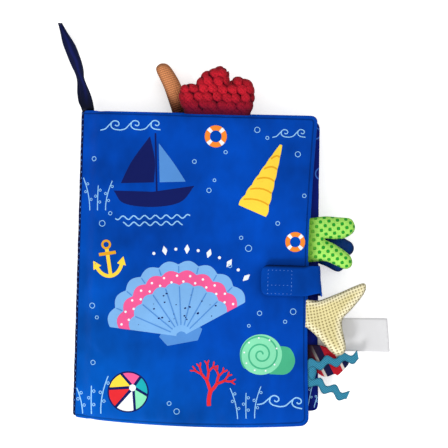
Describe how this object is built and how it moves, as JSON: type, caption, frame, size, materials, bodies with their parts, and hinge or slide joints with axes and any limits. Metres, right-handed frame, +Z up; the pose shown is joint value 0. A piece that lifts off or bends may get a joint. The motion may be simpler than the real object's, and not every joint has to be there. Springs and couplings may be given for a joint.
{
  "type": "crinkle cloth book",
  "caption": "Soft padded cloth book with a spine seam, closing strap, carrying loop, stuffed tails, ribbons and a label round its edges.",
  "frame": {"origin": "middle of the back cover's width and height, on the underside that the closed book lies on", "axes": "+Z up through the closed book, +Y towards the head of the book, +X from the spine towards the fore-edge"},
  "size_m": [0.2674, 0.3127, 0.0296],
  "materials": {
    "cover": "shiny printed polyester",
    "page": "printed polyester",
    "wadding": "soft wadding",
    "film": "crinkle film",
    "piping": "woven tape",
    "satin": "satin",
    "strap": "woven",
    "hook": "hook and loop tape",
    "red": "bobbled knit",
    "orange": "knit",
    "green": "velour",
    "cream": "mesh knit",
    "label": "satin",
    "teal": "braid",
    "striped": "grosgrain"
  },
  "bodies": {
    "back_cover": {"back_cover_face_cloth": "page", "back_cover_reverse_cloth": "cover", "back_cover_wadding": "wadding", "back_cover_crinkle_film": "film", "spine_piping": "piping", "strap_anchor": "strap"},
    "front_cover": {"front_cover_face_cloth": "cover", "front_cover_reverse_cloth": "page", "front_cover_wadding": "wadding", "front_cover_crinkle_film": "film", "loop_patch": "hook"},
    "leaf_one": {"leaf_one_face_cloth": "page", "leaf_one_reverse_cloth": "page", "leaf_one_wadding": "wadding", "leaf_one_crinkle_film": "film"},
    "leaf_two": {"leaf_two_face_cloth": "page", "leaf_two_reverse_cloth": "page", "leaf_two_wadding": "wadding", "leaf_two_crinkle_film": "film"},
    "strap_riser": {"strap_riser": "strap"},
    "strap_tongue": {"strap_tongue": "strap", "hook_patch": "hook"},
    "carrying_loop": {"carrying_loop": "satin"},
    "red_tail": {"red_tail_front_ply": "red", "red_tail_back_ply": "red", "red_tail_stuffing": "wadding"},
    "green_fluke": {"green_fluke_front_ply": "green", "green_fluke_back_ply": "green", "green_fluke_stuffing": "wadding"},
    "cream_fluke": {"cream_fluke_front_ply": "cream", "cream_fluke_back_ply": "cream"},
    "ricrac_braid": {"ricrac_braid": "teal"},
    "striped_ribbon": {"striped_ribbon": "striped"},
    "satin_label": {"satin_label": "label"},
    "navy_fluke": {"navy_fluke_front_ply": "satin", "navy_fluke_back_ply": "satin", "navy_fluke_stuffing": "wadding"},
    "orange_tail": {"orange_tail_front_ply": "orange", "orange_tail_back_ply": "orange", "orange_tail_stuffing": "wadding"}
  },
  "joints": [
    {"name": "cover_open", "type": "hinge", "parent": "back_cover", "child": "front_cover", "pos_m": [-0.092, 0, 0.01285], "axis": [0, -1, 0], "range_deg": [0, 180]},
    {"name": "leaf_one_turn", "type": "hinge", "parent": "back_cover", "child": "leaf_one", "pos_m": [-0.092, 0, 0.01285], "axis": [0, -1, 0], "range_deg": [0, 120.1]},
    {"name": "leaf_two_turn", "type": "hinge", "parent": "back_cover", "child": "leaf_two", "pos_m": [-0.092, 0, 0.01285], "axis": [0, -1, 0], "range_deg": [0, 60.1]},
    {"name": "strap_riser_fold", "type": "hinge", "parent": "back_cover", "child": "strap_riser", "pos_m": [0.09681, -0.006, 0.00625], "axis": [0, 1, 0], "range_deg": [0, 90.1]},
    {"name": "strap_tongue_fold", "type": "hinge", "parent": "strap_riser", "child": "strap_tongue", "pos_m": [0.09681, -0.006, 0.026], "axis": [0, 1, 0], "range_deg": [0, 90.1], "deforming": ["strap_tongue", "hook_patch"]},
    {"name": "carrying_loop_swing", "type": "hinge", "parent": "back_cover", "child": "carrying_loop", "pos_m": [-0.0882, 0.12395, 0.01285], "axis": [1, 0, 0], "range_deg": [-60, 60]},
    {"name": "red_tail_lift", "type": "hinge", "parent": "front_cover", "child": "red_tail", "pos_m": [0.0125, 0.12165, 0.0234], "axis": [-1, 0, 0], "range_deg": [-65, 0]},
    {"name": "green_fluke_lift", "type": "hinge", "parent": "front_cover", "child": "green_fluke", "pos_m": [0.0871, 0.0257, 0.0234], "axis": [0, 1, 0], "range_deg": [-65, 0]},
    {"name": "cream_fluke_lift", "type": "hinge", "parent": "front_cover", "child": "cream_fluke", "pos_m": [0.08841, -0.031, 0.0247], "axis": [0, 1, 0], "range_deg": [-70, 0]},
    {"name": "ricrac_lift", "type": "hinge", "parent": "front_cover", "child": "ricrac_braid", "pos_m": [0.08841, -0.031, 0.0247], "axis": [0, 1, 0], "range_deg": [-53, 0]},
    {"name": "striped_ribbon_lift", "type": "hinge", "parent": "front_cover", "child": "striped_ribbon", "pos_m": [0.08841, -0.031, 0.0247], "axis": [0, 1, 0], "range_deg": [-35.5, 0]},
    {"name": "label_drop", "type": "hinge", "parent": "leaf_one", "child": "satin_label", "pos_m": [0.09631, -0.0468, 0.0156], "axis": [0, 1, 0], "range_deg": [0, 60]},
    {"name": "navy_fluke_drop", "type": "hinge", "parent": "leaf_two", "child": "navy_fluke", "pos_m": [0.09391, 0.019, 0.0088], "axis": [0, 1, 0], "range_deg": [-4, 45]},
    {"name": "orange_tail_drop", "type": "hinge", "parent": "leaf_two", "child": "orange_tail", "pos_m": [-0.0162, 0.11765, 0.0088], "axis": [-1, 0, 0], "range_deg": [-12, 20]}
  ],
  "couplings": [
    {"joint": "leaf_one_turn", "follows": "cover_open", "ratio": 0.6667},
    {"joint": "leaf_two_turn", "follows": "cover_open", "ratio": 0.3333},
    {"joint": "strap_riser_fold", "follows": "cover_open", "ratio": 0.5},
    {"joint": "strap_tongue_fold", "follows": "cover_open", "ratio": 0.5},
    {"joint": "ricrac_lift", "follows": "cream_fluke_lift", "ratio": 0.75},
    {"joint": "striped_ribbon_lift", "follows": "cream_fluke_lift", "ratio": 0.5}
  ]
}
